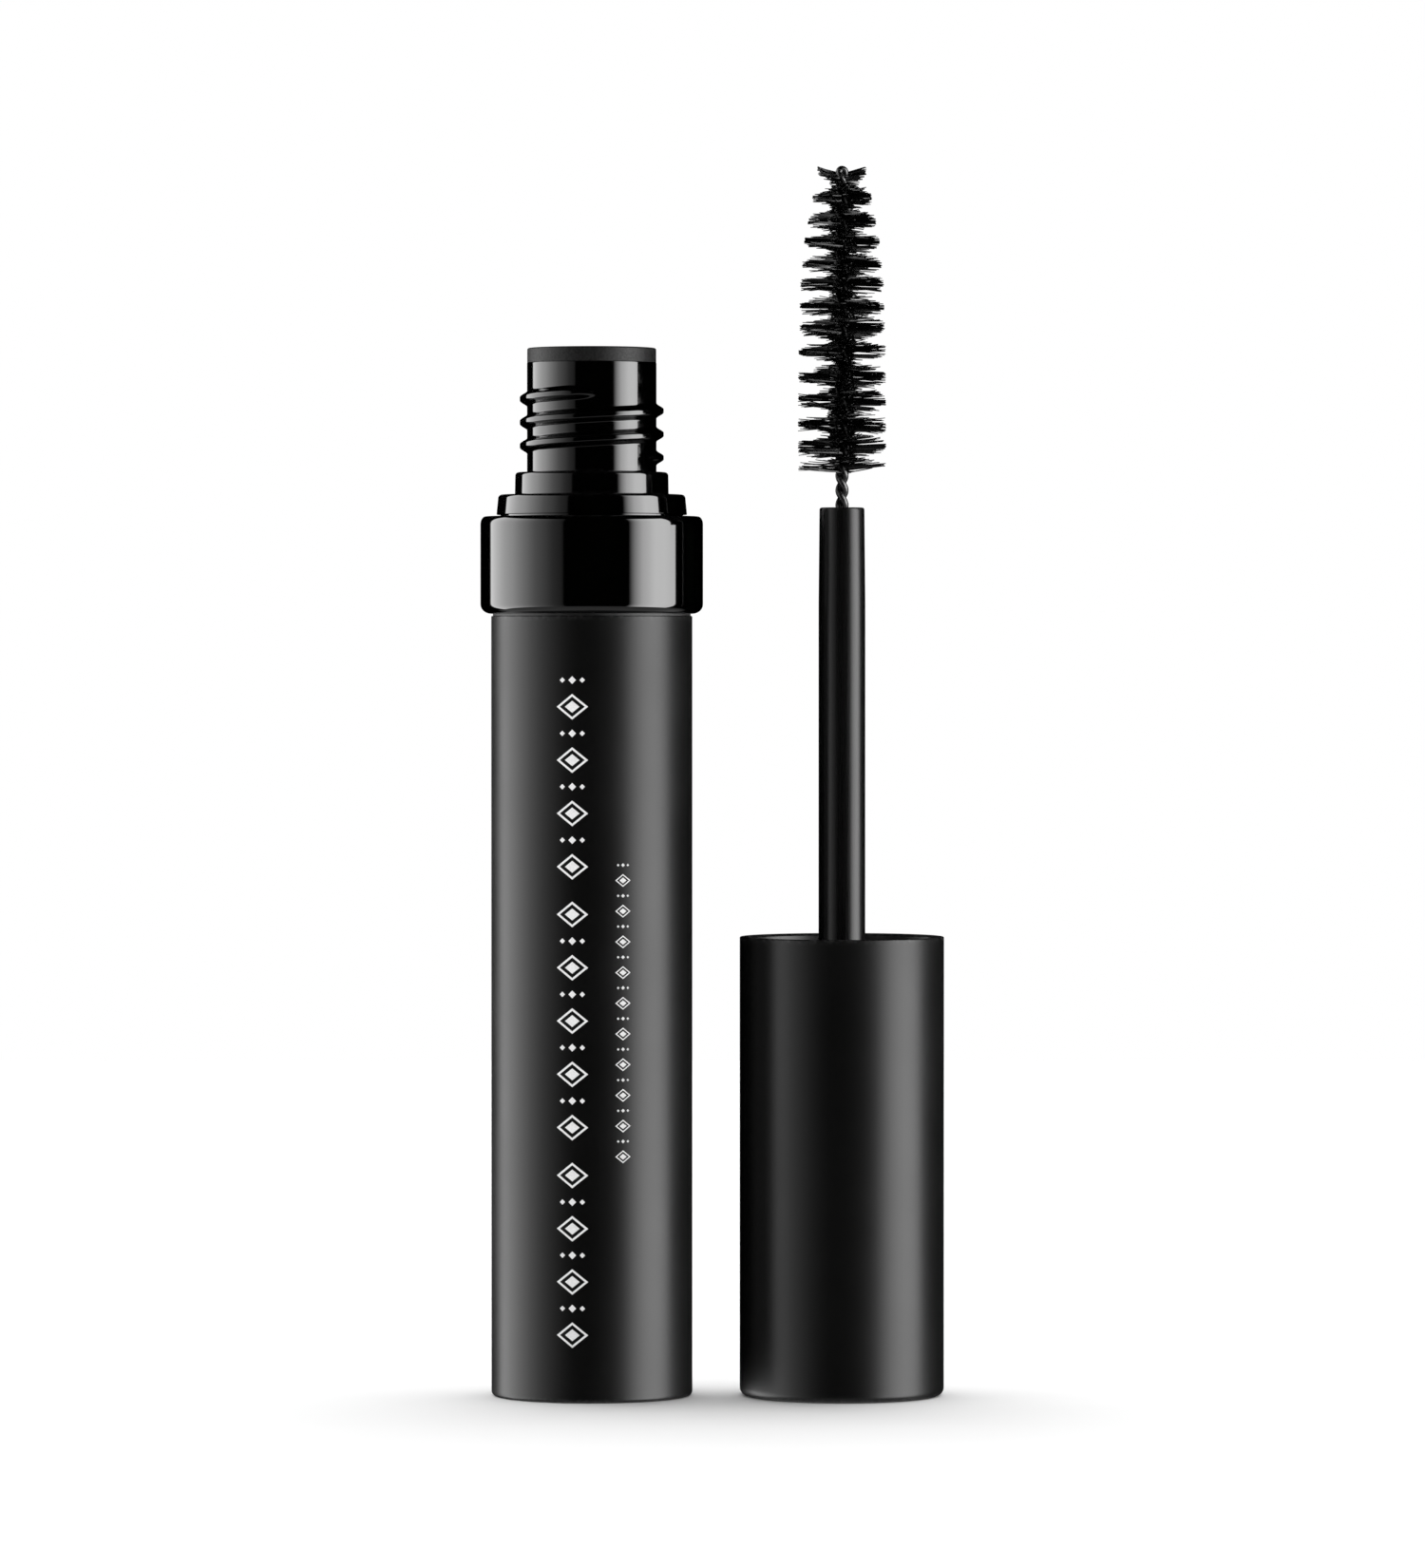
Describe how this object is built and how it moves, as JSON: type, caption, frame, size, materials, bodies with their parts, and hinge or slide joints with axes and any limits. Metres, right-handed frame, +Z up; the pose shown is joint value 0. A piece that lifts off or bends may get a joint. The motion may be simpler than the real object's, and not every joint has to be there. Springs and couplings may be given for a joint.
{
  "type": "mascara tube with brush wand",
  "caption": "Slim open mascara tube with a threaded neck and wiper, its cap and brush wand standing upside down beside it.",
  "frame": {"origin": "centre of the tube's base, on the surface it stands on", "axes": "+Z up along the tube, +X from the tube towards the wand that stands beside it, +Y away from the viewer"},
  "size_m": [0.0416, 0.02, 0.1101],
  "materials": {
    "matte_shell": "matte black anodised",
    "weight_steel": "bare",
    "gloss_bottle": "gloss black",
    "gloss_collar": "high gloss black",
    "wiper_plastic": "soft matte black",
    "liner_plastic": "satin black",
    "gasket_foam": "soft foamed plastic",
    "stem_plastic": "satin black",
    "brush_wire": "dark twisted wire",
    "filament": "black nylon filaments"
  },
  "bodies": {
    "tube": {"outer_sleeve": "matte_shell", "base_weight": "weight_steel", "inner_bottle": "gloss_bottle", "collar_ring": "gloss_collar", "wiper": "wiper_plastic"},
    "gasket": {"cap_gasket": "gasket_foam"},
    "wand": {"cap_shell": "matte_shell", "cap_weight": "weight_steel", "inner_cap": "liner_plastic", "wand_stem": "stem_plastic", "wire_core": "brush_wire", "bristles": "filament"}
  },
  "joints": [
    {"name": "wand_flip", "type": "hinge", "parent": "tube", "child": "gasket", "pos_m": [0.0112, 0, 0.1025], "axis": [0, -1, 0], "range_deg": [0, 180]},
    {"name": "cap_twist", "type": "hinge", "parent": "gasket", "child": "wand", "pos_m": [0.0224, 0, 0], "axis": [0, 0, 1], "continuous": true}
  ]
}
